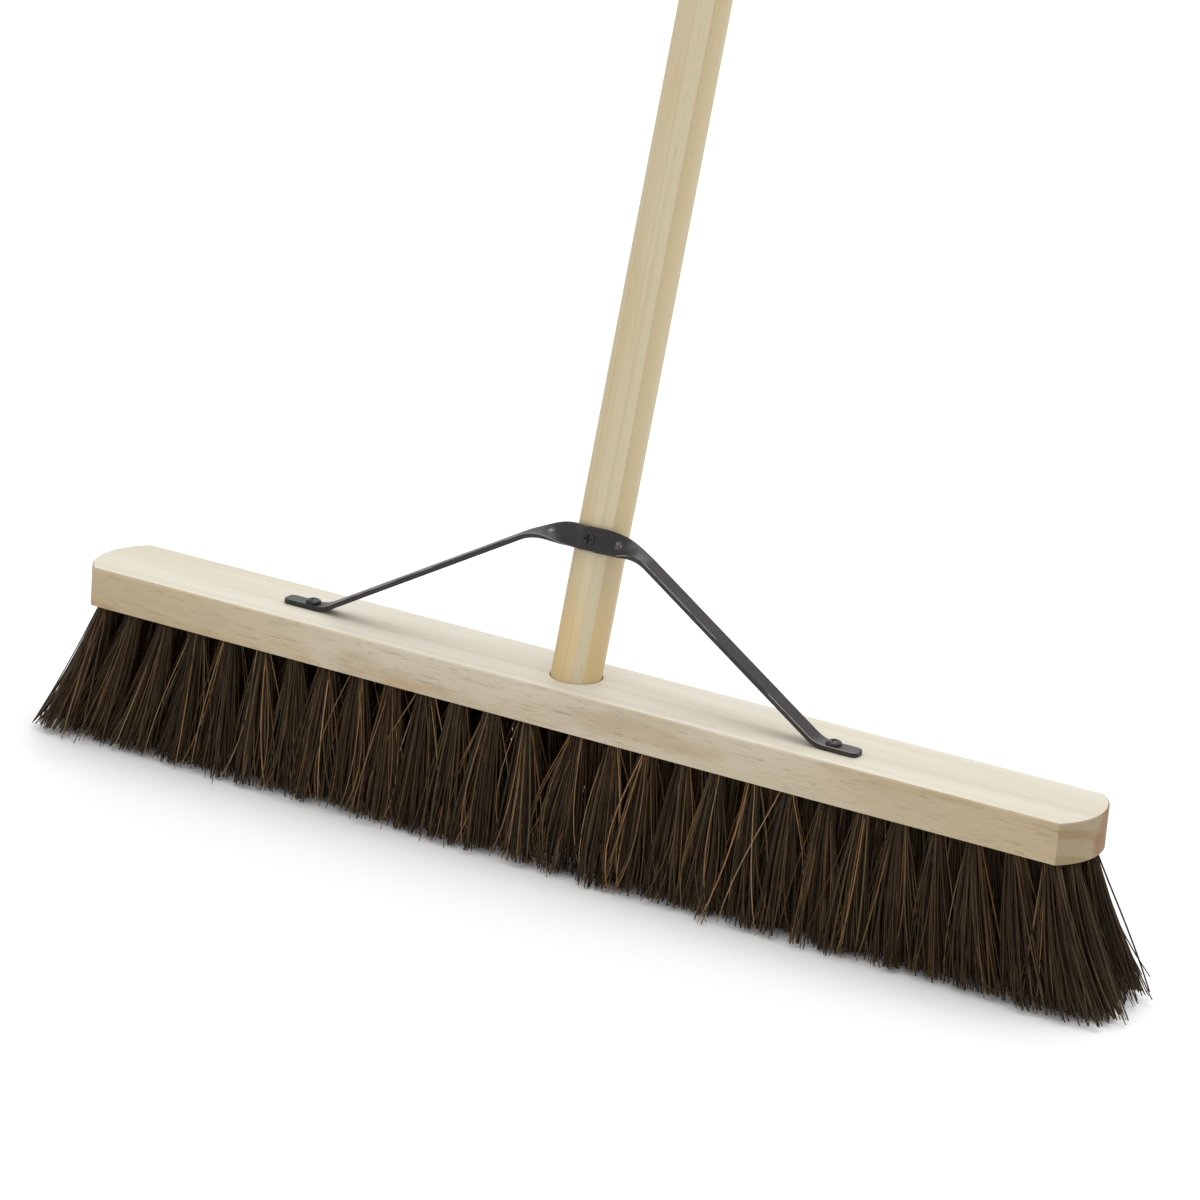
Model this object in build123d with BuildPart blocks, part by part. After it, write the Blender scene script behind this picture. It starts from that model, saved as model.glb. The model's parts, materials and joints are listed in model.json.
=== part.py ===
from build123d import *
from math import atan2, cos, radians, sin, tan
import os

# Push broom: a drilled wooden head, a round pole, a steel stay and staple-set fibre tufts.
#
# The broom stands on the tips of its fibres. The origin is on the plane of the tips, below
# the middle of the head. X runs along the head, +Z is up, the pole leans back towards +Y
# and the stay is on the -Y side. Lengths are in millimetres and angles in degrees.

# Head
STOCK_LENGTH = 610.0
STOCK_WIDTH = 56.0
STOCK_THICKNESS = 22.0
STOCK_END_RISE = 11.2
STOCK_EDGE = 0.8
FIBRE_LENGTH = 78.0

# Pole, which tapers slightly at its foot, and its socket
HANDLE_LENGTH = 1400.0
HANDLE_RADIUS = 14.0
HANDLE_FOOT_RADIUS = 13.7
HANDLE_TAPER_LENGTH = 115.0
HANDLE_LEAN = 13.0
HANDLE_TOP_ROUND = 9.0
HANDLE_FOOT_CHAMFER = 1.5
SOCKET_DEPTH = 18.0
SOCKET_CLEARANCE = 0.5

# Tufts: five staggered rows, each in a left and a right run on either side of the socket.
# The middle row is spaced a little wider, to reach from the socket out into the arched end.
# A row's values are its place from the middle row, the distance of its first tuft from the
# middle of the head, the distance between its tufts, and how many there are.
TUFT_PITCH = 21.0
MIDDLE_PITCH = 21.7
ROW_SPACING = 10.5
TUFT_RADIUS = 4.0
TUFT_TIP_RADIUS = 7.5
TUFT_HOLE_DEPTH = 11.0
TUFT_NECK = 1.0
ROW_LEAN = 6.0
END_LEAN = 14.0
END_LEAN_START_X = 200.0
ROWS = {
    "front": (-2, 16.0, TUFT_PITCH, 14),
    "midfront": (-1, 21.25, TUFT_PITCH, 14),
    "middle": (0, 28.6, MIDDLE_PITCH, 13),
    "midback": (1, 21.25, TUFT_PITCH, 14),
    "back": (2, 16.0, TUFT_PITCH, 14),
}

# Wire staple that each tuft is folded over
STAPLE_WIRE = 1.2
STAPLE_SPAN = 7.0
STAPLE_FOLD = 2.0
STAPLE_BITE = 2.5

# Stay: one flat bar from foot to foot, pressed wider and thinner where it crosses the pole.
# A foot's places are measured outwards from the middle of the head.
BAR_WIDTH = 10.0
BAR_THICKNESS = 2.8
SADDLE_WIDTH = 13.4
SADDLE_THICKNESS = 2.4
SADDLE_HEIGHT = 74.2
SADDLE_WRAP = 24.0
SADDLE_CLEARANCE = 0.05
ARM_TOP_X = 38.5
ARM_TOP_Y = 0.5
ARM_TOP_RISE = 69.6
ARM_ROLL = 4.0
TWIST_SECTIONS = 9
TWIST_EASE = 10.0
BEND_REACH = 3.0
FOOT_CORNER = 3.6
LEFT, RIGHT = -1, 1
FEET = {
    LEFT: {"end": 182.4, "screw": 165.2, "bend": 157.6, "y": -2.0},
    RIGHT: {"end": 172.9, "screw": 157.6, "bend": 149.5, "y": -8.5},
}

# Wood screws. Those in the feet end above the tuft holes.
SCREW_RADIUS = 2.0
SCREW_TIP = 4.0
SCREW_HOLE_RADIUS = 2.3
PAN_HEAD_RADIUS = 4.2
PAN_HEAD_RIM = 0.9
PAN_HEAD_HEIGHT = 2.6
FOOT_SCREW_LENGTH = 11.0
FLAT_HEAD_RADIUS = 3.7
HANDLE_SCREW_LENGTH = 22.0
CROSS_WIDTH = 1.0
CROSS_SPAN = 4.4
CROSS_DEPTH = 1.3

# Places and directions worked out from the sizes above
UNDERSIDE = FIBRE_LENGTH
STOCK_TOP = UNDERSIDE + STOCK_THICKNESS
CORNER_X = STOCK_LENGTH / 2 - STOCK_END_RISE
ACROSS = Vector(1, 0, 0)
UP = Vector(0, 0, 1)
UP_HANDLE = Vector(0, sin(radians(HANDLE_LEAN)), cos(radians(HANDLE_LEAN)))
HANDLE_FRONT = Vector(0, -cos(radians(HANDLE_LEAN)), sin(radians(HANDLE_LEAN)))
SOCKET_MOUTH = Plane(origin=(0, 0, STOCK_TOP), x_dir=ACROSS, z_dir=UP_HANDLE)
SADDLE_CENTRE = SOCKET_MOUTH.origin + UP_HANDLE * SADDLE_HEIGHT
SADDLE_INSIDE = HANDLE_RADIUS + SADDLE_CLEARANCE
HANDLE_SCREW_SEAT = Plane(
    origin=SADDLE_CENTRE + HANDLE_FRONT * (SADDLE_INSIDE + SADDLE_THICKNESS),
    x_dir=ACROSS,
    z_dir=HANDLE_FRONT,
)
FOOT_SCREW_SEATS = {
    side: Plane(origin=(side * foot["screw"], foot["y"], STOCK_TOP + BAR_THICKNESS))
    for side, foot in FEET.items()
}


def write(part, name):
    """Label a finished piece and write it as one STEP file."""
    part.label = name
    export_step(part, f"parts/{name}.step")


def tuft_mouths(row, side):
    """One plane for each tuft of a run, across the mouth of its hole and facing into the wood."""
    number, first, pitch, count = ROWS[row]
    lean_back = tan(radians(ROW_LEAN)) * number / 2
    planes = []
    for k in range(count):
        x = first + pitch * k
        reach = max(0.0, (x - END_LEAN_START_X) / (CORNER_X - END_LEAN_START_X))
        lean_out = tan(radians(END_LEAN)) * reach
        inwards = Vector(-side * lean_out, -lean_back, 1).normalized()
        along = ACROSS - inwards * ACROSS.dot(inwards)
        planes.append(Plane(origin=(side * x, number * ROW_SPACING, UNDERSIDE), x_dir=along, z_dir=inwards))
    return planes


def cross_outline():
    """Draw the cross recess of a screw in the sketch that is being made."""
    Rectangle(CROSS_SPAN, CROSS_WIDTH)
    Rectangle(CROSS_WIDTH, CROSS_SPAN)


def half_profile(seat):
    """The plane of a screw's half outline: x out from its axis, y out along it from the seat."""
    return Plane(origin=seat.origin, x_dir=seat.x_dir, z_dir=-seat.y_dir)


def bar_plane(at, along, face):
    """A plane across the bar: x over its width, y through its thickness, z along its length."""
    along = along.normalized()
    face = (face - along * face.dot(along)).normalized()
    return Plane(origin=at, x_dir=face.cross(along), z_dir=along)


def saddle_section(turn):
    """The pressed bar at an angle round the front of the pole."""
    face = ACROSS * sin(turn) + HANDLE_FRONT * cos(turn)
    along = ACROSS * cos(turn) - HANDLE_FRONT * sin(turn)
    at = SADDLE_CENTRE + face * (SADDLE_INSIDE + SADDLE_THICKNESS / 2)
    return at, along, face


def arm_sections(side):
    """Sections of one arm, from the end of its foot to the edge of the saddle."""
    foot = FEET[side]
    bend = Vector(side * foot["bend"], foot["y"], STOCK_TOP + BAR_THICKNESS / 2)
    top = Vector(side * ARM_TOP_X, ARM_TOP_Y, STOCK_TOP + ARM_TOP_RISE)
    climb = (top - bend).normalized()
    slope = atan2(top.Z - bend.Z, abs(top.X - bend.X))
    square = Vector(side * sin(slope), 0, cos(slope))
    arm_face = square * cos(radians(ARM_ROLL)) - Vector(0, sin(radians(ARM_ROLL)), 0)
    foot_end = Vector(side * foot["end"], foot["y"], bend.Z)
    before = bend + ACROSS * (side * BEND_REACH)
    after = bend + climb * BEND_REACH
    along_arm = climb * -side
    bar = (BAR_WIDTH, BAR_THICKNESS)
    sections = [
        (bar_plane(foot_end, ACROSS, UP), *bar),
        (bar_plane(before, ACROSS, UP), *bar),
        (bar_plane((before + bend * 2 + after) / 4, ACROSS + along_arm, UP + arm_face), *bar),
        (bar_plane(after, along_arm, arm_face), *bar),
        (bar_plane(top, along_arm, arm_face), *bar),
    ]
    edge, along_edge, edge_face = saddle_section(side * radians(SADDLE_WRAP))
    leave = top + climb * TWIST_EASE
    arrive = edge + along_edge * (side * TWIST_EASE)
    for i in range(1, TWIST_SECTIONS):
        t = i / TWIST_SECTIONS
        s = 1 - t
        at = top * s**3 + leave * (3 * s**2 * t) + arrive * (3 * s * t**2) + edge * t**3
        ahead = (leave - top) * s**2 + (arrive - leave) * (2 * s * t) + (edge - arrive) * t**2
        turned = t * t * (3 - 2 * t)
        face = arm_face * (1 - turned) + edge_face * turned
        width = BAR_WIDTH + (SADDLE_WIDTH - BAR_WIDTH) * turned
        thickness = BAR_THICKNESS + (SADDLE_THICKNESS - BAR_THICKNESS) * turned
        sections.append((bar_plane(at, ahead * -side, face), width, thickness))
    sections.append((bar_plane(edge, along_edge, edge_face), SADDLE_WIDTH, SADDLE_THICKNESS))
    return sections


os.makedirs("parts", exist_ok=True)

with BuildPart() as handle:
    foot = SOCKET_MOUTH.offset(-SOCKET_DEPTH)
    with BuildSketch(foot):
        Circle(HANDLE_FOOT_RADIUS)
    with BuildSketch(foot.offset(HANDLE_TAPER_LENGTH)):
        Circle(HANDLE_RADIUS)
    loft()
    with BuildSketch(foot.offset(HANDLE_TAPER_LENGTH)):
        Circle(HANDLE_RADIUS)
    extrude(amount=HANDLE_LENGTH - HANDLE_TAPER_LENGTH)
    fillet(handle.edges().filter_by(GeomType.CIRCLE).sort_by(Axis.Z)[-1], HANDLE_TOP_ROUND)
    chamfer(handle.edges().filter_by(GeomType.CIRCLE).sort_by(Axis.Z)[0], HANDLE_FOOT_CHAMFER)
    with Locations(HANDLE_SCREW_SEAT):
        Hole(SCREW_RADIUS, depth=HANDLE_SCREW_LENGTH)
write(handle.part, "handle")

with BuildPart() as stock:
    with BuildSketch(Plane.XY.offset(UNDERSIDE)):
        with BuildLine():
            front = Line((-CORNER_X, -STOCK_WIDTH / 2), (CORNER_X, -STOCK_WIDTH / 2))
            right = ThreePointArc(front @ 1, (STOCK_LENGTH / 2, 0), (CORNER_X, STOCK_WIDTH / 2))
            back = Line(right @ 1, (-CORNER_X, STOCK_WIDTH / 2))
            ThreePointArc(back @ 1, (-STOCK_LENGTH / 2, 0), front @ 0)
        make_face()
    extrude(amount=STOCK_THICKNESS)
    chamfer(stock.faces().sort_by(Axis.Z)[-1].edges(), STOCK_EDGE)
    with BuildSketch(SOCKET_MOUTH.offset(STOCK_THICKNESS)):
        Circle(HANDLE_FOOT_RADIUS + SOCKET_CLEARANCE)
    extrude(amount=-3 * STOCK_THICKNESS, mode=Mode.SUBTRACT)
    with Locations(*FOOT_SCREW_SEATS.values()):
        Hole(SCREW_RADIUS, depth=FOOT_SCREW_LENGTH)
    with BuildSketch(*[mouth for row in ROWS for side in FEET for mouth in tuft_mouths(row, side)]):
        Circle(TUFT_RADIUS)
    extrude(amount=TUFT_HOLE_DEPTH, both=True, mode=Mode.SUBTRACT)
write(stock.part, "stock")

with BuildPart() as stay:
    turns = [radians(SADDLE_WRAP) * share for share in (-0.6, -0.2, 0.2, 0.6)]
    saddle = [(bar_plane(*saddle_section(turn)), SADDLE_WIDTH, SADDLE_THICKNESS) for turn in turns]
    for plane, width, thickness in arm_sections(LEFT) + saddle + arm_sections(RIGHT)[::-1]:
        with BuildSketch(plane):
            Rectangle(width, thickness)
    loft(ruled=True)
    upright = stay.edges().filter_by(Axis.Z).sort_by(Axis.X)
    fillet(upright[:2] + upright[-2:], FOOT_CORNER)
    with Locations(*FOOT_SCREW_SEATS.values()):
        Hole(SCREW_HOLE_RADIUS, depth=2 * BAR_THICKNESS)
    with Locations(HANDLE_SCREW_SEAT):
        CounterSinkHole(SCREW_HOLE_RADIUS, FLAT_HEAD_RADIUS, depth=2 * SADDLE_THICKNESS, counter_sink_angle=90)
write(stay.part, "stay")

for side, name in ((LEFT, "stay_screw_left"), (RIGHT, "stay_screw_right")):
    seat = FOOT_SCREW_SEATS[side]
    with BuildPart() as pan_screw:
        with BuildSketch(half_profile(seat)):
            with BuildLine():
                shank = Polyline(
                    (0, -FOOT_SCREW_LENGTH),
                    (SCREW_RADIUS, -FOOT_SCREW_LENGTH + SCREW_TIP),
                    (SCREW_RADIUS, 0),
                    (PAN_HEAD_RADIUS, 0),
                    (PAN_HEAD_RADIUS, PAN_HEAD_RIM),
                )
                crown = EllipticalCenterArc(
                    (0, PAN_HEAD_RIM), PAN_HEAD_RADIUS, PAN_HEAD_HEIGHT - PAN_HEAD_RIM, arc_size=90
                )
                Line(crown @ 1, shank @ 0)
            make_face()
        revolve(axis=Axis(seat.origin, seat.z_dir))
        with BuildSketch(seat.offset(PAN_HEAD_HEIGHT)):
            cross_outline()
        extrude(amount=-CROSS_DEPTH, mode=Mode.SUBTRACT)
    write(pan_screw.part, name)

with BuildPart() as flat_screw:
    with BuildSketch(half_profile(HANDLE_SCREW_SEAT)):
        with BuildLine():
            Polyline(
                (0, 0),
                (FLAT_HEAD_RADIUS, 0),
                (SCREW_RADIUS, SCREW_RADIUS - FLAT_HEAD_RADIUS),
                (SCREW_RADIUS, -HANDLE_SCREW_LENGTH + SCREW_TIP),
                (0, -HANDLE_SCREW_LENGTH),
                close=True,
            )
        make_face()
    revolve(axis=Axis(HANDLE_SCREW_SEAT.origin, HANDLE_SCREW_SEAT.z_dir))
    with BuildSketch(HANDLE_SCREW_SEAT):
        cross_outline()
    extrude(amount=-CROSS_DEPTH, mode=Mode.SUBTRACT)
write(flat_screw.part, "handle_screw")

for row in ROWS:
    for side, hand in ((LEFT, "left"), (RIGHT, "right")):
        mouths = tuft_mouths(row, side)
        with BuildPart() as tufts:
            with BuildSketch(*[mouth.offset(-TUFT_NECK) for mouth in mouths]):
                Circle(TUFT_RADIUS)
            extrude(amount=TUFT_NECK + TUFT_HOLE_DEPTH)
            for mouth in mouths:
                with BuildSketch(mouth.offset(-TUFT_NECK)):
                    Circle(TUFT_RADIUS)
                with BuildSketch(mouth.offset(-FIBRE_LENGTH - TUFT_RADIUS)):
                    Circle(TUFT_TIP_RADIUS)
                loft()
            split(bisect_by=Plane.XY, keep=Keep.TOP)
        write(tufts.part, f"tufts_{row}_{hand}")

        with BuildPart() as staples:
            crowns = [mouth.offset(TUFT_HOLE_DEPTH - STAPLE_FOLD) for mouth in mouths]
            with BuildSketch(*[Plane(at.origin, x_dir=at.x_dir, z_dir=-at.y_dir) for at in crowns]):
                Rectangle(STAPLE_SPAN, STAPLE_WIRE)
                with GridLocations(STAPLE_SPAN - STAPLE_WIRE, 0, 2, 1):
                    Rectangle(STAPLE_WIRE, STAPLE_FOLD + STAPLE_BITE, align=(Align.CENTER, Align.MIN))
            extrude(amount=STAPLE_WIRE / 2, both=True)
        write(staples.part, f"staples_{row}_{hand}")
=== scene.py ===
import json
import math

import bmesh
import bpy
import numpy as np
from mathutils import Matrix, Vector


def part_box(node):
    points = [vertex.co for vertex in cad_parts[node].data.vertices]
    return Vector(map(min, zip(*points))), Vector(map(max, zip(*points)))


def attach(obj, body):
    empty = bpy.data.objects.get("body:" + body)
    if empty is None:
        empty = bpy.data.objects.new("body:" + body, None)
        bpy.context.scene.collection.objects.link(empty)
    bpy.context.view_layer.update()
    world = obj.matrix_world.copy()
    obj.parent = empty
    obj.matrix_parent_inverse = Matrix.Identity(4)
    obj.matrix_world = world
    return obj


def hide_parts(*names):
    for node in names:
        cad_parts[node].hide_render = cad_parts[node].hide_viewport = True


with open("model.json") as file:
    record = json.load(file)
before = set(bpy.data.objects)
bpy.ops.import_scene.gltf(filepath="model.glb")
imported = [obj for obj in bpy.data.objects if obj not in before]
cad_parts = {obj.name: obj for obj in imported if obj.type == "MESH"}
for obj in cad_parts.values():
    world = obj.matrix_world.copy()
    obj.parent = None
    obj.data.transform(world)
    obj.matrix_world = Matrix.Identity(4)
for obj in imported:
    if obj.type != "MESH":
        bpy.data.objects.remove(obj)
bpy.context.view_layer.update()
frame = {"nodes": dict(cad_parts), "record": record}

# The push broom's looks: bare softwood head and pine pole, black painted steel stay, and tufts
# of stiff dark plant fibre. Everything is in metres, in the frame of the CAD model.

MM = 0.001

# ---------------------------------------------------------------- places from the frame

STOCK_LOW, STOCK_HIGH = (Vector(corner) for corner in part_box("stock"))
UNDERSIDE = STOCK_LOW.z
STOCK_TOP = STOCK_HIGH.z
GRIP = next(m for m in frame["record"]["mounts"] if m["name"] == "handle_grip")
POLE_UP = Vector(GRIP["axis"]).normalized()
POLE_RADIUS = GRIP["dims"]["r_mm"] * MM
POLE_LEAN = math.atan2(POLE_UP.y, POLE_UP.z)
POLE_FRONT = Vector((0, -POLE_UP.z, POLE_UP.y))
SOCKET_MOUTH = Vector((0, 0, STOCK_TOP))
ROWS = ("front", "midfront", "middle", "midback", "back")
HANDS = ("left", "right")

# ---------------------------------------------------------------- camera

CAMERA_AZIMUTH = math.radians(28.42)
CAMERA_ELEVATION = math.radians(18.2)
CAMERA_ROLL = math.radians(4.67)
CAMERA_DISTANCE = 2.438
CAMERA_LENS = 138.2
CAMERA_AIM = Vector((0.002, 0.0156, STOCK_TOP + 0.0388))


def add_camera():
    """The camera looks along +Y at azimuth 0, and is rolled a little to the right."""
    flat = math.cos(CAMERA_ELEVATION)
    back = Vector((
        math.sin(CAMERA_AZIMUTH) * flat,
        -math.cos(CAMERA_AZIMUTH) * flat,
        math.sin(CAMERA_ELEVATION),
    ))
    level = Vector((math.cos(CAMERA_AZIMUTH), math.sin(CAMERA_AZIMUTH), 0))
    upright = back.cross(level)
    right = level * math.cos(CAMERA_ROLL) + upright * math.sin(CAMERA_ROLL)
    up = upright * math.cos(CAMERA_ROLL) - level * math.sin(CAMERA_ROLL)
    turn = Matrix((right, up, back)).transposed().to_4x4()
    data = bpy.data.cameras.new("camera")
    data.lens = CAMERA_LENS
    data.sensor_width = 36.0
    data.clip_end = 60.0
    camera = bpy.data.objects.new("camera", data)
    camera.matrix_world = Matrix.Translation(CAMERA_AIM + back * CAMERA_DISTANCE) @ turn
    bpy.context.scene.collection.objects.link(camera)
    bpy.context.scene.camera = camera


# ---------------------------------------------------------------- materials

# Turns that bring the grain of each wood onto local Z. The pole's pattern is laid out facing
# this far round from the front towards +X. It is fixed on the pole, and doesn't follow the
# camera, although it was matched to the side that the photograph shows.
PATTERN_FACING = math.radians(28.42)
GRAIN_ALONG_X = (0, -math.pi / 2, 0)
GRAIN_ALONG_POLE = (POLE_LEAN, 0, -PATTERN_FACING)
POLE_BAND_SPAN = 32 * MM
POLE_AXIS_SHIFT = STOCK_TOP * math.sin(POLE_LEAN) * math.sin(PATTERN_FACING)


def srgb(red, green, blue):
    """A colour given as 0 to 255 display values, as linear RGBA."""
    channels = [c / 255 for c in (red, green, blue)]
    return (*[c / 12.92 if c <= 0.04045 else ((c + 0.055) / 1.055) ** 2.4 for c in channels], 1.0)


class Nodes:
    """A material's node tree, with short calls to add and join nodes."""

    def __init__(self, name):
        self.material = bpy.data.materials.new(name)
        self.material.use_nodes = True
        self.tree = self.material.node_tree
        self.shader = self.tree.nodes["Principled BSDF"]

    def add(self, kind, values=(), **settings):
        """A node with its settings, and its inputs given as numbers, colours or sockets."""
        node = self.tree.nodes.new(kind)
        for key, value in settings.items():
            setattr(node, key, value)
        for key, value in dict(values).items():
            self.put(node.inputs[key], value)
        return node

    def put(self, socket, value):
        """Join a socket to another, or set its value."""
        if isinstance(value, bpy.types.NodeSocket):
            self.tree.links.new(value, socket)
        else:
            socket.default_value = value

    def math(self, operation, *values):
        node = self.add("ShaderNodeMath", operation=operation)
        for socket, value in zip(node.inputs, values):
            self.put(socket, value)
        return node.outputs[0]

    def mapped(self, scale=(1, 1, 1), turn=(0, 0, 0), shift=(0, 0, 0)):
        """Object coordinates, turned and shifted, then stretched by a scale for each axis."""
        where = self.add("ShaderNodeTexCoord").outputs["Object"]
        turned = self.add("ShaderNodeMapping", {"Vector": where, "Rotation": turn, "Location": shift})
        return self.add("ShaderNodeMapping", {"Vector": turned.outputs[0], "Scale": scale}).outputs[0]

    def noise(self, vector, scale, detail=3.0, roughness=0.55, distortion=0.0):
        values = {"Vector": vector, "Scale": scale, "Detail": detail, "Roughness": roughness}
        return self.add("ShaderNodeTexNoise", {**values, "Distortion": distortion}).outputs[0]

    def ramp(self, factor, stops):
        """A colour ramp through (position, colour) stops."""
        node = self.add("ShaderNodeValToRGB", {"Fac": factor})
        elements = node.color_ramp.elements
        while len(elements) < len(stops):
            elements.new(0.5)
        for element, (position, colour) in zip(elements, stops):
            element.position = position
            element.color = colour
        return node.outputs[0]

    def level(self, factor, painted_bounce_glow, high):
        """A smooth step from 0 at low to 1 at high."""
        values = {"Value": factor, "From Min": painted_bounce_glow, "From Max": high}
        return self.add("ShaderNodeMapRange", values, interpolation_type="SMOOTHSTEP").outputs[0]

    def mix(self, factor, first, second, blend="MIX"):
        node = self.add("ShaderNodeMix", data_type="RGBA", blend_type=blend)
        self.put(node.inputs[0], factor)
        self.put(node.inputs[6], first)
        self.put(node.inputs[7], second)
        return node.outputs[2]

    def near(self, place, inner, outer):
        """1 within the inner distance of a place, falling to 0 at the outer one."""
        where = self.add("ShaderNodeTexCoord").outputs["Object"]
        away = self.add("ShaderNodeVectorMath", {0: where, 1: place}, operation="DISTANCE").outputs["Value"]
        return self.level(away, outer, inner)

    def bump(self, height, strength, distance):
        values = {"Height": height, "Strength": strength, "Distance": distance}
        self.put(self.shader.inputs["Normal"], self.add("ShaderNodeBump", values).outputs[0])


def along_grain(nodes, turn, along, across, detail=3.0, roughness=0.55):
    """Noise stretched along the grain, with its scale along and across it in features a metre."""
    return nodes.noise(nodes.mapped((across, across, along), turn), 1.0, detail, roughness)


def weighted(nodes, mask, weight):
    return nodes.math("MULTIPLY", mask, weight)


def facing(nodes, turn):
    """How squarely a face looks along each axis once turned, as X, Y and Z sockets from 0 to 1."""
    normal = nodes.add("ShaderNodeNewGeometry").outputs["Normal"]
    turned = nodes.add("ShaderNodeMapping", {"Vector": normal, "Rotation": turn}).outputs[0]
    parts = nodes.add("ShaderNodeSeparateXYZ", {"Vector": turned})
    return [nodes.math("ABSOLUTE", parts.outputs[axis]) for axis in "XYZ"]


def finish_wood(nodes, colour, streaks, pits):
    """Bare sanded wood: slightly rougher along the streaks and dented at the dark flecks."""
    nodes.put(nodes.shader.inputs["Base Color"], colour)
    rough = nodes.math("ADD", weighted(nodes, streaks, 0.16), 0.50)
    nodes.put(nodes.shader.inputs["Roughness"], rough)
    nodes.shader.inputs["Specular IOR Level"].default_value = 0.3
    nodes.bump(nodes.math("SUBTRACT", streaks, weighted(nodes, pits, 0.5)), 0.25, 0.0003)
    return nodes.material


def head_wood():
    """Pale planed softwood. The long sides are tanner and flecked, and the ends show end grain."""
    nodes = Nodes("head_wood")
    turn = GRAIN_ALONG_X
    end_on, side_on = facing(nodes, (0, 0, 0))[:2]
    side = nodes.level(side_on, 0.25, 0.75)
    place = nodes.add("ShaderNodeSeparateXYZ", {"Vector": nodes.mapped()})
    outward = nodes.level(nodes.math("ABSOLUTE", place.outputs[0]), 0.08, 0.26)
    end = weighted(nodes, nodes.level(end_on, 0.25, 0.6), nodes.level(end_on, 0.25, 0.6))

    broad = along_grain(nodes, turn, 3.0, 28.0, 2.0)
    bands = along_grain(nodes, turn, 1.5, 120.0, 2.0, 0.4)
    streaks = along_grain(nodes, turn, 14.0, 900.0, 4.0, 0.7)
    colour = nodes.mix(nodes.level(broad, 0.40, 0.68), srgb(209, 204, 190), srgb(202, 195, 177))
    colour = nodes.mix(weighted(nodes, nodes.level(bands, 0.50, 0.70), 0.30), colour, srgb(188, 176, 149))
    colour = nodes.mix(weighted(nodes, nodes.level(streaks, 0.45, 0.75), 0.22), colour, srgb(182, 169, 141))

    stain = along_grain(nodes, turn, 11.0, 45.0, 3.0)
    flecks = along_grain(nodes, turn, 130.0, 1150.0, 2.0)
    dashes = along_grain(nodes, turn, 45.0, 620.0, 2.0)
    # The long sides are multiplied tanner than the top, and darker and tanner still towards both ends.
    side_tint = nodes.mix(outward, srgb(251, 244, 234), srgb(232, 217, 193))
    side_colour = nodes.mix(1.0, colour, side_tint, "MULTIPLY")
    side_stain = weighted(nodes, nodes.level(stain, 0.48, 0.70), 0.5)
    side_colour = nodes.mix(side_stain, side_colour, srgb(168, 145, 108))
    lower = nodes.level(place.outputs[2], STOCK_TOP - 0.006, UNDERSIDE)
    tan_patch = along_grain(nodes, turn, 14.0, 70.0, 2.0)
    tan_patch = nodes.math("MULTIPLY", nodes.level(tan_patch, 0.50, 0.62), lower)
    side_colour = nodes.mix(weighted(nodes, tan_patch, 0.5), side_colour, srgb(182, 148, 106))
    side_flecks = nodes.math("MAXIMUM", nodes.level(flecks, 0.56, 0.78), nodes.level(dashes, 0.58, 0.80))
    side_colour = nodes.mix(weighted(nodes, side_flecks, 0.48), side_colour, srgb(132, 109, 79))
    colour = nodes.mix(side, colour, side_colour)

    rings = nodes.add(
        "ShaderNodeTexWave",
        {
            "Vector": nodes.mapped((1, 1, 1), shift=(0, 0.030, -0.030)),
            "Scale": 22.0,
            "Distortion": 1.2,
            "Detail": 2.0,
            "Detail Scale": 0.6,
        },
        wave_type="RINGS",
        rings_direction="X",
    ).outputs[1]
    pores = nodes.noise(nodes.mapped(), 600.0, 3.0)
    blotch = nodes.noise(nodes.mapped(), 45.0, 2.0)
    rearward = nodes.level(nodes.math("ADD", place.outputs[1], weighted(nodes, blotch, 0.03)), 0.010, 0.018)
    end_colour = nodes.mix(nodes.level(rings, 0.55, 0.95), srgb(162, 146, 118), srgb(152, 131, 99))
    end_colour = nodes.mix(weighted(nodes, rearward, 0.75), end_colour, srgb(140, 100, 62))
    pore_marks = weighted(nodes, nodes.level(pores, 0.45, 0.75), 0.3)
    end_colour = nodes.mix(pore_marks, end_colour, srgb(124, 98, 66))
    colour = nodes.mix(end, colour, end_colour)
    return finish_wood(nodes, colour, streaks, weighted(nodes, side_flecks, side))


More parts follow.
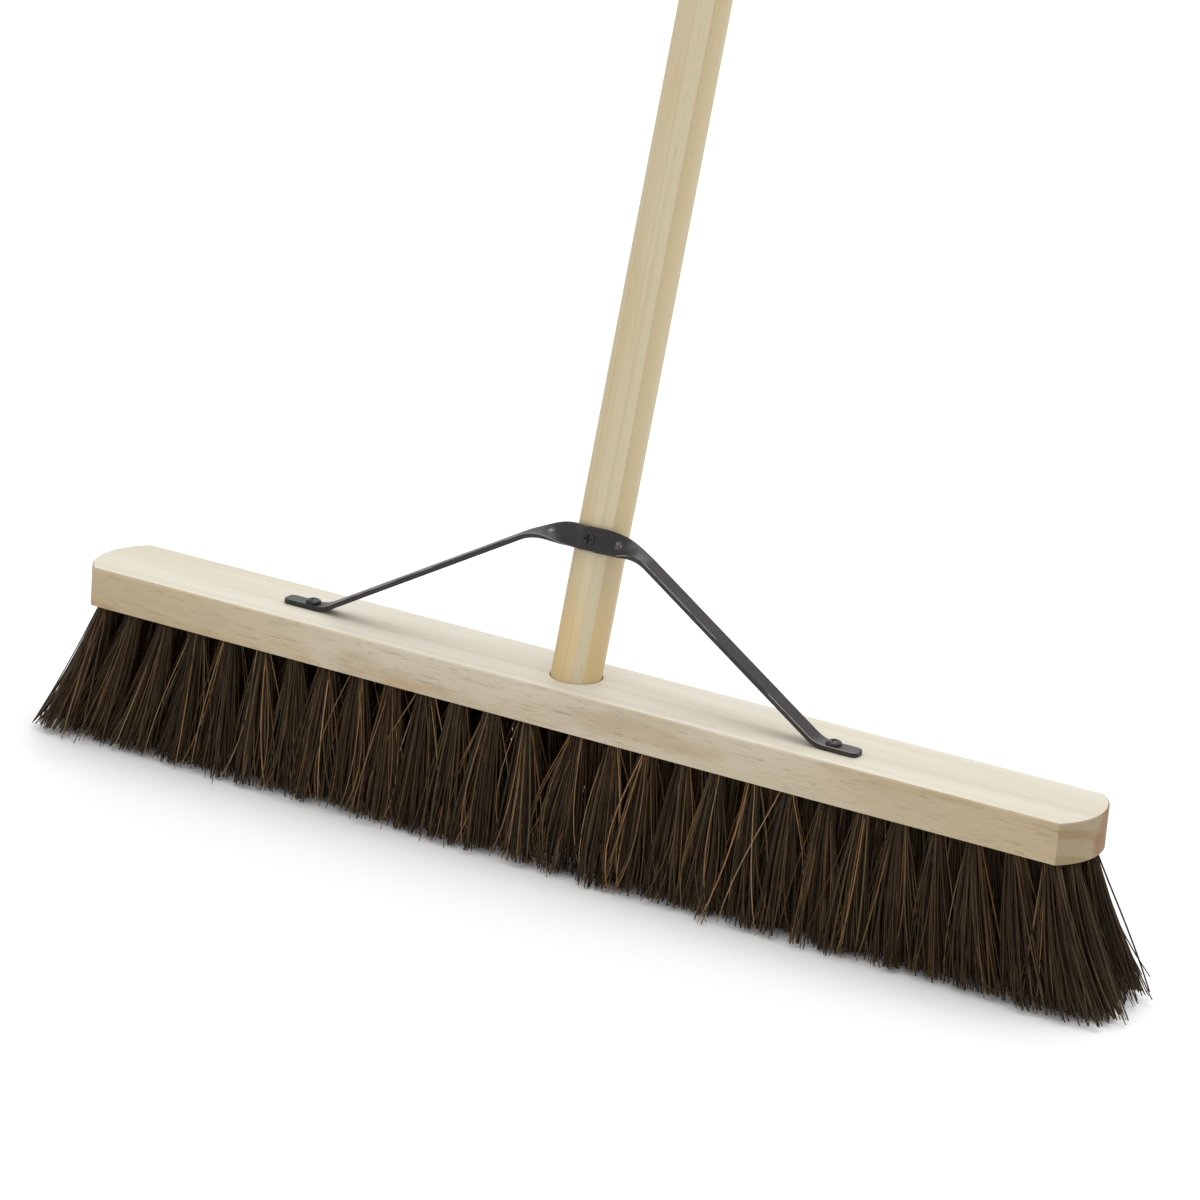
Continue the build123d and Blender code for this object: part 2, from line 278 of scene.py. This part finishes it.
def pole_wood():
    """Pale pine with a broad darker growth band along it, honey patches, fine grain lines, and painted
    bounce light at its foot.
    """
    nodes = Nodes("pole_wood")
    turn = GRAIN_ALONG_POLE
    sway = along_grain(nodes, turn, 3.0, 6.0, 2.0)
    across = nodes.add("ShaderNodeSeparateXYZ", {"Vector": nodes.mapped((1, 1, 1), turn)}).outputs[0]
    offset = weighted(nodes, nodes.math("SUBTRACT", sway, 0.5), 0.005)
    place = nodes.math("ADD", nodes.math("ADD", across, offset), POLE_AXIS_SHIFT + 0.5 * POLE_BAND_SPAN)
    share = nodes.math("DIVIDE", place, POLE_BAND_SPAN)
    pale, soft, band = srgb(207, 195, 164), srgb(204, 189, 156), srgb(197, 178, 141)
    colour = nodes.ramp(share, [
        (0.00, pale),
        (0.22, soft),
        (0.36, pale),
        (0.600, pale),
        (0.615, band),
        (0.72, srgb(200, 183, 147)),
        (0.82, srgb(203, 187, 152)),
        (0.86, srgb(205, 190, 157)),
        (1.00, pale),
    ])
    honey = along_grain(nodes, turn, 9.0, 60.0, 3.0)
    colour = nodes.mix(weighted(nodes, nodes.level(honey, 0.50, 0.72), 0.40), colour, srgb(203, 175, 124))
    # Painted light: warmer near the socket mouth, as light bounced up from the head, except on the pale
    # strip.
    painted_bounce_glow = nodes.near(SOCKET_MOUTH, 0.022, 0.058)
    strip = nodes.math("MULTIPLY", nodes.level(share, 0.36, 0.46), nodes.level(share, 0.61, 0.60))
    painted_bounce_glow = nodes.math("MULTIPLY", painted_bounce_glow, nodes.math("SUBTRACT", 1.0, strip))
    colour = nodes.mix(weighted(nodes, painted_bounce_glow, 0.6), colour, srgb(217, 186, 132))
    lines = along_grain(nodes, turn, 2.0, 420.0, 2.0, 0.5)
    colour = nodes.mix(weighted(nodes, nodes.level(lines, 0.52, 0.70), 0.20), colour, srgb(178, 150, 104))
    streaks = along_grain(nodes, turn, 12.0, 1400.0, 4.0, 0.7)
    colour = nodes.mix(weighted(nodes, nodes.level(streaks, 0.45, 0.8), 0.16), colour, srgb(176, 150, 108))
    flecks = along_grain(nodes, turn, 110.0, 1300.0, 2.0)
    fleck = nodes.level(flecks, 0.64, 0.80)
    colour = nodes.mix(weighted(nodes, fleck, 0.35), colour, srgb(150, 118, 74))
    end_on = facing(nodes, turn)[2]
    colour = nodes.mix(weighted(nodes, nodes.level(end_on, 0.7, 0.95), 0.7), colour, srgb(188, 160, 114))
    return finish_wood(nodes, colour, streaks, fleck)


def black_steel(name, shade, roughness, bends=()):
    """Black painted steel: faint brush marks, edges painted lighter, partly paint wear and partly a painted
    highlight, and painted glints at the bends.
    """
    nodes = Nodes(name)
    spots = nodes.noise(nodes.mapped((1, 1, 1)), 160.0, 4.0, 0.6)
    smears = nodes.noise(nodes.mapped((1, 1, 1)), 35.0, 3.0, 0.6)
    grit = nodes.noise(nodes.mapped((1, 1, 1)), 1100.0, 2.0, 0.5)
    colour = nodes.mix(nodes.level(smears, 0.45, 0.75), shade, srgb(46, 40, 37))
    colour = nodes.mix(weighted(nodes, nodes.level(grit, 0.52, 0.72), 0.5), colour, srgb(66, 62, 60))
    colour = nodes.mix(nodes.level(spots, 0.66, 0.76), colour, srgb(74, 64, 56))
    edge = nodes.add("ShaderNodeAttribute", attribute_name="edge").outputs["Fac"]
    # Lighter in patches along the front edges: partly paint wear, partly a painted highlight.
    wear_and_glints = nodes.math("MULTIPLY", edge, nodes.level(smears, 0.46, 0.56))
    # Painted glints at the two bends, broken up by the grit.
    for bend in bends:
        painted_glint = nodes.math("MULTIPLY", nodes.near(bend, 0.0002, 0.0030), nodes.level(grit, 0.38, 0.62))
        wear_and_glints = nodes.math("MAXIMUM", wear_and_glints, painted_glint)
    colour = nodes.mix(weighted(nodes, wear_and_glints, 0.85), colour, srgb(150, 147, 143))
    nodes.put(nodes.shader.inputs["Base Color"], colour)
    rough = nodes.math("ADD", nodes.math("MULTIPLY", smears, 0.22), roughness - 0.11)
    nodes.put(nodes.shader.inputs["Roughness"], rough)
    nodes.shader.inputs["Specular IOR Level"].default_value = 0.45
    nodes.bump(spots, 0.28, 0.0005)
    return nodes.material


def fibre_material():
    """Dark plant fibre: each strand has its own brown, mottled along its length."""
    nodes = Nodes("fibre")
    shade = nodes.add("ShaderNodeAttribute", attribute_name="shade").outputs["Fac"]
    warmth = nodes.add("ShaderNodeAttribute", attribute_name="warmth").outputs["Fac"]
    mottle = nodes.noise(nodes.mapped((1, 1, 0.35)), 420.0, 3.0, 0.6)
    wander = nodes.math("MULTIPLY", nodes.math("SUBTRACT", mottle, 0.5), 0.35)
    colour = nodes.ramp(nodes.math("ADD", shade, wander), [
        (0.0, srgb(37, 30, 18)),
        (0.35, srgb(68, 55, 35)),
        (0.65, srgb(102, 83, 57)),
        (0.86, srgb(138, 114, 82)),
        (1.0, srgb(170, 143, 108)),
    ])
    colour = nodes.mix(weighted(nodes, warmth, 0.8), colour, srgb(255, 212, 160), "MULTIPLY")
    nodes.put(nodes.shader.inputs["Base Color"], colour)
    nodes.shader.inputs["Roughness"].default_value = 0.55
    nodes.shader.inputs["Specular IOR Level"].default_value = 0.22
    return nodes.material


def wire_material():
    """Drawn steel wire of the staples."""
    nodes = Nodes("staple_wire")
    marks = nodes.noise(nodes.mapped((1, 1, 1)), 900.0, 3.0)
    colour = nodes.mix(nodes.level(marks, 0.4, 0.7), srgb(150, 150, 150), srgb(115, 113, 110))
    nodes.put(nodes.shader.inputs["Base Color"], colour)
    nodes.shader.inputs["Metallic"].default_value = 0.9
    nodes.shader.inputs["Roughness"].default_value = 0.4
    return nodes.material


def paint(node_name, material):
    """Give a CAD node its material."""
    for slot in frame["nodes"][node_name].material_slots:
        slot.material = material


# ---------------------------------------------------------------- pieces


def new_piece(name, points, faces, material):
    """A mesh piece in the frame, riding on the broom's one body."""
    mesh = bpy.data.meshes.new(name)
    mesh.from_pydata(points, [], faces)
    mesh.materials.append(material)
    mesh.polygons.foreach_set("use_smooth", [True] * len(mesh.polygons))
    mesh.update()
    piece = bpy.data.objects.new(name, mesh)
    bpy.context.scene.collection.objects.link(piece)
    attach(piece, "root")
    return piece


# Fibres. Thicknesses are shares of a fibre's radius.

FIBRES_PER_TUFT = 82
STRAYS_PER_TUFT = 14
LOCKS_PER_TUFT = 9
FIBRE_RINGS = 8
FIBRE_SIDES = 4
FIBRE_ROOT_RADIUS = 0.50 * MM
FIBRE_TIP_RADIUS = 0.44 * MM
BUNDLE_RADIUS = 3.4 * MM
ROOT_DEPTH = 5.0 * MM
SPREAD_ALONG = 15.5 * MM
SPREAD_ACROSS = 10.5 * MM
FLARE_START_X = 130 * MM
FLARE_AT_END = 10.0 * MM
MIDDLE_REACH = 32 * MM
MIDDLE_PULL = 10.0 * MM
TUFT_SEED = 24
LOCK_GATHER = 0.55
OTHER_LOCK_SHARE = 0.28
SHORT_FIBRE_SHARE = 0.08
LIGHT_FIBRE_SHARE = 0.10
STRAY_THICKNESS = 0.7
TIP_THICKNESS = 0.85


def centres(points, gap=3 * MM):
    """The middle of each group of points, where groups are parted by gaps along X."""
    points = points[np.argsort(points[:, 0])]
    cuts = np.flatnonzero(np.diff(points[:, 0]) > gap) + 1
    return [(group.min(axis=0) + group.max(axis=0)) / 2 for group in np.split(points, cuts)]


def tuft_lines(node_name):
    """The (root, tip) of each tuft in a CAD node, with the root at the mouth of its hole."""
    mesh = frame["nodes"][node_name].data
    points = np.empty(len(mesh.vertices) * 3)
    mesh.vertices.foreach_get("co", points)
    points = points.reshape(-1, 3)
    tips = centres(points[points[:, 2] < 1 * MM])
    tops = centres(points[points[:, 2] > UNDERSIDE + 6 * MM])
    lines = []
    for top, tip in zip(tops, tips):
        share = (top[2] - UNDERSIDE) / (top[2] - tip[2])
        lines.append((top + (tip - top) * share, tip))
    return lines


def disc(rng, count):
    """Points spread evenly over a disc of radius 1."""
    angle = rng.uniform(0, math.tau, count)
    radius = np.sqrt(rng.uniform(0, 1, count))
    return np.stack([np.cos(angle) * radius, np.sin(angle) * radius], axis=1)


def fibre_paths(rng, root, tip, count, strays):
    """Middle lines of a tuft's fibres, as an array of fibre by ring by xyz.

    Fibres leave the hole as a round bundle and gather in small locks towards their tips.
    The tufts near the ends of the head bow outwards.
    """
    total = count + strays
    loose = np.arange(total) >= count
    either = loose[:, None]
    spread = np.array([SPREAD_ALONG, SPREAD_ACROSS])
    start = disc(rng, total)
    locks = disc(rng, LOCKS_PER_TUFT)
    nearest = np.linalg.norm(start[:, None] - locks[None], axis=2).argmin(axis=1)
    other_lock = rng.uniform(0, 1, total) < OTHER_LOCK_SHARE
    lock = np.where(other_lock, rng.integers(0, LOCKS_PER_TUFT, total), nearest)
    lock_ends = locks * spread + rng.normal(0, 1, (LOCKS_PER_TUFT, 2)) * [2.4 * MM, 1.4 * MM]
    gather = np.where(either, 0.0, LOCK_GATHER)
    end = start * spread * (1 - gather) + lock_ends[lock] * gather
    apart = np.clip(rng.normal(0, 1, (total, 2)), -1.5, 1.5) * np.where(either, [9.5, 4.0], 2.0) * MM
    end += apart + rng.normal(0, 1, 2) * [2.0 * MM, 1.6 * MM]
    reach = max(0.0, (abs(root[0]) - FLARE_START_X) / (STOCK_HIGH.x - FLARE_START_X))
    flare = math.copysign(FLARE_AT_END * reach, root[0]) * rng.uniform(0.2, 1.5, total)
    flare[loose] *= 0.3
    end[:, 0] -= math.copysign(MIDDLE_PULL * max(0.0, 1 - abs(root[0]) / MIDDLE_REACH), root[0])
    start = start * BUNDLE_RADIUS
    power = rng.uniform(0.85, 1.35, total)
    bow = np.clip(rng.normal(0, 1, (total, 2)), -1.5, 1.5) * np.where(either, [6.5, 4.0], 1.9) * MM
    bow[loose] *= 1 - reach
    cut = np.abs(rng.normal(0, 1.5, LOCKS_PER_TUFT))[lock] + np.abs(rng.normal(0, 0.5, total))
    cut += np.where(loose, 0.0, 0.40 * np.linalg.norm(apart, axis=1) / MM)
    cut += (rng.uniform(0, 1, total) < SHORT_FIBRE_SHARE) * rng.uniform(1, 8, total)
    t = np.linspace(0, 1, FIBRE_RINGS)
    sideways = start[:, None] + (end - start)[:, None] * (t[None] ** power[:, None])[:, :, None]
    sideways += bow[:, None] * (4 * t**1.5 * (1 - t))[None, :, None]
    line = (tip - root) / (root[2] - tip[2])
    drop = (root[2] + ROOT_DEPTH - 0.4 * MM - cut * MM)[:, None] * t[None] - ROOT_DEPTH
    paths = root[None, None] + line[None, None] * drop[:, :, None]
    paths[:, :, :2] += sideways
    paths[:, :, 0] += flare[:, None] * (t**2.4)[None]
    return paths


def tube_mesh(paths, radii, sides):
    """Points and faces of closed tubes round the middle lines."""
    count, rings, _ = paths.shape
    along = np.gradient(paths, axis=1)
    along /= np.linalg.norm(along, axis=2, keepdims=True)
    side = np.cross(along, [0.0, 1.0, 0.0])
    side /= np.linalg.norm(side, axis=2, keepdims=True)
    other = np.cross(along, side)
    turns = np.arange(sides) * math.tau / sides
    ring = side[:, :, None, :] * np.cos(turns)[None, None, :, None]
    ring = ring + other[:, :, None, :] * np.sin(turns)[None, None, :, None]
    points = (paths[:, :, None, :] + ring * radii[:, :, None, None]).reshape(-1, 3)
    k = np.arange(sides)
    wall = np.stack([k, (k + 1) % sides, (k + 1) % sides + sides, k + sides], axis=1)
    one = np.concatenate([wall + sides * r for r in range(rings - 1)])
    starts = np.arange(count) * rings * sides
    faces = (starts[:, None, None] + one[None]).reshape(-1, 4)
    caps = np.concatenate([starts[:, None] + k[::-1], starts[:, None] + (rings - 1) * sides + k])
    return points, np.concatenate([faces, caps])


def add_tuft(name, rng, root, tip, node_name, material):
    """One tuft of loose fibres, standing for one solid of a CAD node."""
    paths = fibre_paths(rng, root, tip, FIBRES_PER_TUFT, STRAYS_PER_TUFT)
    total, rings, _ = paths.shape
    thick = rng.uniform(0.65, 1.2, total)[:, None]
    thick[-STRAYS_PER_TUFT:] *= STRAY_THICKNESS
    radii = np.linspace(FIBRE_ROOT_RADIUS, FIBRE_TIP_RADIUS, rings)[None, :] * thick
    radii[:, -1] *= TIP_THICKNESS
    points, faces = tube_mesh(paths, radii, FIBRE_SIDES)
    piece = new_piece(name, points.tolist(), faces.tolist(), material)
    shade = 0.50 * rng.beta(1.5, 2.2, total) + rng.uniform(-0.04, 0.04)
    light = rng.uniform(0, 1, total) < LIGHT_FIBRE_SHARE
    shade[light] = rng.uniform(0.35, 0.65, light.sum())
    shade[-STRAYS_PER_TUFT:] = rng.uniform(0.35, 1.0, STRAYS_PER_TUFT)
    warmth = rng.beta(0.8, 1.2, total)
    for key, values in (("shade", shade), ("warmth", warmth)):
        attribute = piece.data.attributes.new(key, "FLOAT", "POINT")
        each = np.repeat(np.clip(values, 0, 1), rings * FIBRE_SIDES)
        attribute.data.foreach_set("value", each.astype(np.float32))
    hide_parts(node_name)


def add_tufts(material):
    rng = np.random.default_rng(TUFT_SEED)
    for row in ROWS:
        for hand in HANDS:
            node_name = f"tufts_{row}_{hand}"
            for number, (root, tip) in enumerate(tuft_lines(node_name), 1):
                add_tuft(f"tuft_{row}_{hand}_{number:02d}", rng, root, tip, node_name, material)


# Stay. Its sizes and places are those of the CAD bar, but for wider bends, rounded edges and
# a saddle that is 0.05 mm thinner.

BAR_WIDTH = 10.0 * MM
BAR_THICKNESS = 2.8 * MM
BAR_EDGE = 0.55 * MM
SADDLE_WIDTH = 13.4 * MM
SADDLE_THICKNESS = 2.35 * MM
SADDLE_HEIGHT = 74.2 * MM
SADDLE_WRAP = math.radians(24)
SADDLE_INSIDE = POLE_RADIUS + 0.05 * MM
ARM_TOP_X = 38.5 * MM
ARM_TOP_Y = 0.5 * MM
ARM_TOP_RISE = 69.6 * MM
ARM_ROLL = math.radians(4)
TWIST_EASE = 10.0 * MM
BEND_REACH = 6.0 * MM
FOOT_CORNER = 3.6 * MM
FEET = {-1: (182.4 * MM, 157.6 * MM, -2.0 * MM), 1: (172.9 * MM, 149.5 * MM, -8.5 * MM)}
SCREW_HEAD_RADIUS = 3.5 * MM
SCREW_SEAT_DEPTH = 1.5 * MM
FACE_STEPS = 26
# How many sections back from each saddle edge the painted glints sit.
BEND_GLINT_STEPS = {-1: 17, 1: 11}
ACROSS = Vector((1, 0, 0))
UP = Vector((0, 0, 1))
SADDLE_CENTRE = SOCKET_MOUTH + POLE_UP * SADDLE_HEIGHT


def smoothstep(t):
    return t * t * (3 - 2 * t)


def bar_section(at, along, face, width, thickness):
    """A section across the bar: its middle, width direction, face normal, width and thickness."""
    along = along.normalized()
    face = (face - along * face.dot(along)).normalized()
    return at, face.cross(along), face, width, thickness


def saddle_place(turn):
    """The middle of the pressed bar at an angle round the front of the pole."""
    face = ACROSS * math.sin(turn) + POLE_FRONT * math.cos(turn)
    along = ACROSS * math.cos(turn) - POLE_FRONT * math.sin(turn)
    return SADDLE_CENTRE + face * (SADDLE_INSIDE + SADDLE_THICKNESS / 2), along, face


def arm_sections(side):
    """Sections of one arm, from the rounded end of its foot to the edge of the saddle."""
    foot_end_x, bend_x, foot_y = FEET[side]
    bend = Vector((side * bend_x, foot_y, STOCK_TOP + BAR_THICKNESS / 2))
    top = Vector((side * ARM_TOP_X, ARM_TOP_Y, STOCK_TOP + ARM_TOP_RISE))
    climb = (top - bend).normalized()
    slope = math.atan2(top.z - bend.z, abs(top.x - bend.x))
    square = Vector((side * math.sin(slope), 0, math.cos(slope)))
    arm_face = square * math.cos(ARM_ROLL) - Vector((0, math.sin(ARM_ROLL), 0))
    along_arm = climb * -side
    foot_end = Vector((side * foot_end_x, foot_y, bend.z))
    sections = []
    for inset in np.linspace(0, 1, 9) ** 2 * FOOT_CORNER:
        curve = FOOT_CORNER - math.sqrt(FOOT_CORNER**2 - (FOOT_CORNER - inset) ** 2)
        edge = max(0.0, BAR_EDGE - inset)
        at = foot_end - ACROSS * (side * inset)
        sections.append(bar_section(at, ACROSS, UP, BAR_WIDTH - 2 * curve, BAR_THICKNESS - edge))
    before = bend + ACROSS * (side * BEND_REACH)
    after = bend + climb * BEND_REACH
    for t in np.linspace(0, 1, 11):
        at = before * (1 - t) ** 2 + bend * (2 * t * (1 - t)) + after * t**2
        along = ACROSS * (1 - t) + along_arm * t
        face = UP * (1 - t) + arm_face * t
        sections.append(bar_section(at, along, face, BAR_WIDTH, BAR_THICKNESS))
    sections.append(bar_section(top, along_arm, arm_face, BAR_WIDTH, BAR_THICKNESS))
    edge, along_edge, edge_face = saddle_place(side * SADDLE_WRAP)
    leave = top + climb * TWIST_EASE
    arrive = edge + along_edge * (side * TWIST_EASE)
    for t in np.linspace(0, 1, 33)[1:-1]:
        s = 1 - t
        at = top * s**3 + leave * (3 * s**2 * t) + arrive * (3 * s * t**2) + edge * t**3
        ahead = (leave - top) * s**2 + (arrive - leave) * (2 * s * t) + (edge - arrive) * t**2
        turned = smoothstep(t)
        width = BAR_WIDTH + (SADDLE_WIDTH - BAR_WIDTH) * turned
        thickness = BAR_THICKNESS + (SADDLE_THICKNESS - BAR_THICKNESS) * turned
        face = arm_face * (1 - turned) + edge_face * turned
        sections.append(bar_section(at, ahead * -side, face, width, thickness))
    return sections


def bar_outline(width, thickness):
    """The bar's section with rounded edges. Its front face comes first, in even steps."""
    radius = min(BAR_EDGE, width * 0.45, thickness * 0.45)
    half, depth = width / 2 - radius, thickness / 2
    front = [(u, depth) for u in np.linspace(-half, half, FACE_STEPS + 1)]
    right = [
        (half + radius * math.sin(a), depth - radius + radius * math.cos(a))
        for a in np.linspace(0, math.pi / 2, 5)[1:]
    ]
    lower_right = [(u, -v) for u, v in right[::-1]]
    back = [(u, -v) for u, v in front[::-1]]
    lower_left = [(-u, v) for u, v in lower_right[::-1]]
    left = [(-u, v) for u, v in right[::-1]]
    return front + right + lower_right + back + lower_left + left


def bend_glint_place(side):
    """A point on the front of the bar, part of the way along the twist beside the saddle, where a glint is
    painted.
    """
    at, _, face, _, thickness = arm_sections(side)[-BEND_GLINT_STEPS[side]]
    return at + face * thickness / 2


def add_stay(material):
    """The bar swept from foot to foot, with a countersink in the saddle for the screw's head."""
    turns = np.linspace(-SADDLE_WRAP, SADDLE_WRAP, 37)
    saddle = [bar_section(*saddle_place(turn), SADDLE_WIDTH, SADDLE_THICKNESS) for turn in turns]
    sections = arm_sections(-1) + saddle + arm_sections(1)[::-1]
    outlines = [bar_outline(width, thickness) for *_, width, thickness in sections]
    points = []
    for (at, across, face, *_), outline in zip(sections, outlines):
        for u, v in outline:
            point = at + across * u + face * v
            from_screw = point - SADDLE_CENTRE
            radius = (from_screw - POLE_FRONT * from_screw.dot(POLE_FRONT)).length
            if v > 0 and radius < SCREW_HEAD_RADIUS and from_screw.dot(POLE_FRONT) > 0:
                point -= POLE_FRONT * min(SCREW_SEAT_DEPTH, 1.5 * (SCREW_HEAD_RADIUS - radius))
            points.append(point)
    count = len(outlines[0])
    faces = []
    for ring in range(len(sections) - 1):
        for k in range(count):
            a, b = ring * count + k, ring * count + (k + 1) % count
            faces.append((a, b, b + count, a + count))
    faces.append(tuple(range(count))[::-1])
    faces.append(tuple(range((len(sections) - 1) * count, len(sections) * count)))
    piece = new_piece("stay_bar", points, faces, material)
    tidy = bmesh.new()
    tidy.from_mesh(piece.data)
    bmesh.ops.recalc_face_normals(tidy, faces=tidy.faces)
    tidy.to_mesh(piece.data)
    tidy.free()
    # The rounded front edges, which the steel's material paints lighter: partly paint wear, partly a
    # painted highlight.
    edge = np.zeros(count)
    edge[[FACE_STEPS + 1, FACE_STEPS + 2, -2, -1]] = 1.0
    attribute = piece.data.attributes.new("edge", "FLOAT", "POINT")
    attribute.data.foreach_set("value", np.tile(edge, len(sections)).astype(np.float32))
    piece.modifiers.new("flat_faces", "WEIGHTED_NORMAL").keep_sharp = True
    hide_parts("stay")


# ---------------------------------------------------------------- stage and lights


def add_stage():
    """A plain pale floor under the fibre tips."""
    size = 30.0
    nodes = Nodes("floor")
    nodes.shader.inputs["Base Color"].default_value = (0.93, 0.93, 0.93, 1)
    nodes.shader.inputs["Roughness"].default_value = 0.9
    nodes.shader.inputs["Specular IOR Level"].default_value = 0.1
    mesh = bpy.data.meshes.new("floor")
    corners = [(-size, -size, 0), (size, -size, 0), (size, size, 0), (-size, size, 0)]
    mesh.from_pydata(corners, [], [(0, 1, 2, 3)])
    mesh.materials.append(nodes.material)
    floor = bpy.data.objects.new("floor", mesh)
    bpy.context.scene.collection.objects.link(floor)


def add_area_light(name, place, aim, size, power):
    """A square softbox that faces a point."""
    data = bpy.data.lights.new(name, "AREA")
    data.size = size
    data.energy = power
    lamp = bpy.data.objects.new(name, data)
    direction = Vector(aim) - Vector(place)
    lamp.matrix_world = Matrix.Translation(place) @ direction.to_track_quat("-Z", "Y").to_matrix().to_4x4()
    bpy.context.scene.collection.objects.link(lamp)


def add_lights():
    """A soft box overhead, one behind that lights the floor there, and an even white surround."""
    world = bpy.data.worlds.new("surround")
    world.use_nodes = True
    world.node_tree.nodes["Background"].inputs["Color"].default_value = (1, 1, 1, 1)
    world.node_tree.nodes["Background"].inputs["Strength"].default_value = 0.80
    bpy.context.scene.world = world
    add_area_light("overhead", (0.15, 0.35, 2.4), (0, 0, 0.1), 1.6, 28.0)
    add_area_light("behind", (-1.3, 3.0, 2.2), (-1.3, 3.2, 0), 2.0, 34.0)


# ---------------------------------------------------------------- build

bpy.context.scene.view_settings.view_transform = "Standard"
add_camera()
add_stage()
add_lights()

# The two places where glints are painted on the stay.
BEND_GLINT_PLACES = [bend_glint_place(-1), bend_glint_place(1)]
stay_steel = black_steel("black_steel", srgb(30, 27, 27), 0.42, BEND_GLINT_PLACES)
screw_steel = black_steel("black_screw", srgb(28, 26, 26), 0.36)
staple_wire = wire_material()

paint("stock", head_wood())
paint("handle", pole_wood())
add_stay(stay_steel)
for screw in ("stay_screw_left", "stay_screw_right", "handle_screw"):
    paint(screw, screw_steel)
for row in ROWS:
    for hand in HANDS:
        paint(f"staples_{row}_{hand}", staple_wire)
add_tufts(fibre_material())
